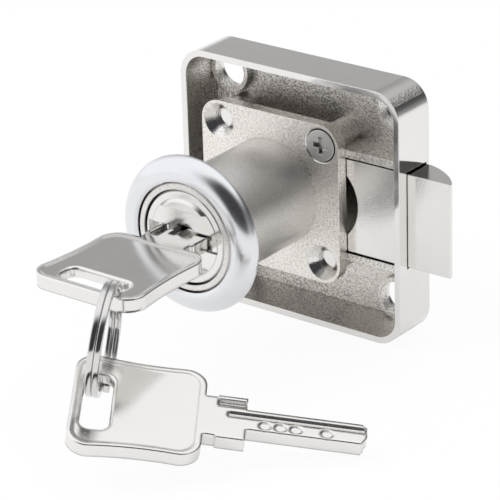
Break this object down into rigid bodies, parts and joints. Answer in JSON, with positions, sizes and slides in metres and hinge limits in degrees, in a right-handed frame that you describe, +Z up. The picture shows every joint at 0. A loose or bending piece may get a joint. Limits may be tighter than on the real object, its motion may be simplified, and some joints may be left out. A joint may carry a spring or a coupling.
{
  "type": "drawer lock",
  "caption": "Square surface-mounted drawer lock with a round barrel, domed rosette, spring latch, dimple key in the cylinder and a spare key on a split ring.",
  "frame": {"origin": "on the cylinder's axis, in the plane where the lock's rim meets the back of the drawer front", "axes": "+X the way the latch points out, +Y from the drawer front into the drawer, +Z up"},
  "size_m": [0.0631, 0.0774, 0.045],
  "materials": {
    "case_nickel": "nickel plating, mirror bright outside, cast and speckled inside",
    "housing_nickel": "nickel plating on blasted zinc, satin on the barrel",
    "rosette_chrome": "bright chrome",
    "plug_nickel": "bright nickel plating",
    "cam_zinc": "cast zinc, dull",
    "bolt_nickel": "bright nickel plating",
    "screw_nickel": "bright nickel plating",
    "pin_brass": "turned brass",
    "spring_steel": "drawn wire",
    "key_nickel": "bright nickel plating",
    "ring_steel": "nickel-plated steel wire"
  },
  "bodies": {
    "lock_body": {"lock_case": "case_nickel", "cylinder_housing": "housing_nickel", "pin_cover": "housing_nickel", "trim_ring": "rosette_chrome", "housing_screw_1": "screw_nickel", "housing_screw_2": "screw_nickel", "driver_pin_1": "pin_brass", "driver_pin_2": "pin_brass", "driver_pin_3": "pin_brass", "driver_pin_4": "pin_brass", "driver_pin_5": "pin_brass", "pin_spring_1": "spring_steel", "pin_spring_2": "spring_steel", "pin_spring_3": "spring_steel", "pin_spring_4": "spring_steel", "pin_spring_5": "spring_steel", "bolt_spring": "spring_steel"},
    "core": {"plug": "plug_nickel", "key_pin_1": "pin_brass", "key_pin_2": "pin_brass", "key_pin_3": "pin_brass", "key_pin_4": "pin_brass", "key_pin_5": "pin_brass", "cam": "cam_zinc", "cam_screw": "screw_nickel"},
    "latch": {"latch_bolt": "bolt_nickel"},
    "key": {"key_inserted": "key_nickel"},
    "ring": {"key_ring": "ring_steel"},
    "spare": {"key_spare": "key_nickel"}
  },
  "joints": [
    {"name": "plug_turn", "type": "hinge", "parent": "lock_body", "child": "core", "pos_m": [0, 0, 0], "axis": [0, -1, 0], "range_deg": [0, 90]},
    {"name": "latch_slide", "type": "slide", "parent": "lock_body", "child": "latch", "axis": [-1, 0, 0], "range_m": [0, 0.0084], "deforming": ["bolt_spring"]},
    {"name": "key_pull", "type": "slide", "parent": "core", "child": "key", "axis": [0, -1, 0], "range_m": [0, 0.0232]},
    {"name": "ring_swing", "type": "hinge", "parent": "key", "child": "ring", "pos_m": [0.0058, -0.0493, 0], "axis": [-0.8597, -0.4924, 0.1357], "range_deg": [0, 60]},
    {"name": "spare_travel", "type": "hinge", "parent": "ring", "child": "spare", "pos_m": [0.00678, -0.05243, -0.00515], "axis": [-0.8597, -0.4924, 0.1357], "range_deg": [0, 60]}
  ],
  "couplings": [
    {"joint": "plug_turn", "follows": "latch_slide", "rad_per_m": 186.99}
  ]
}
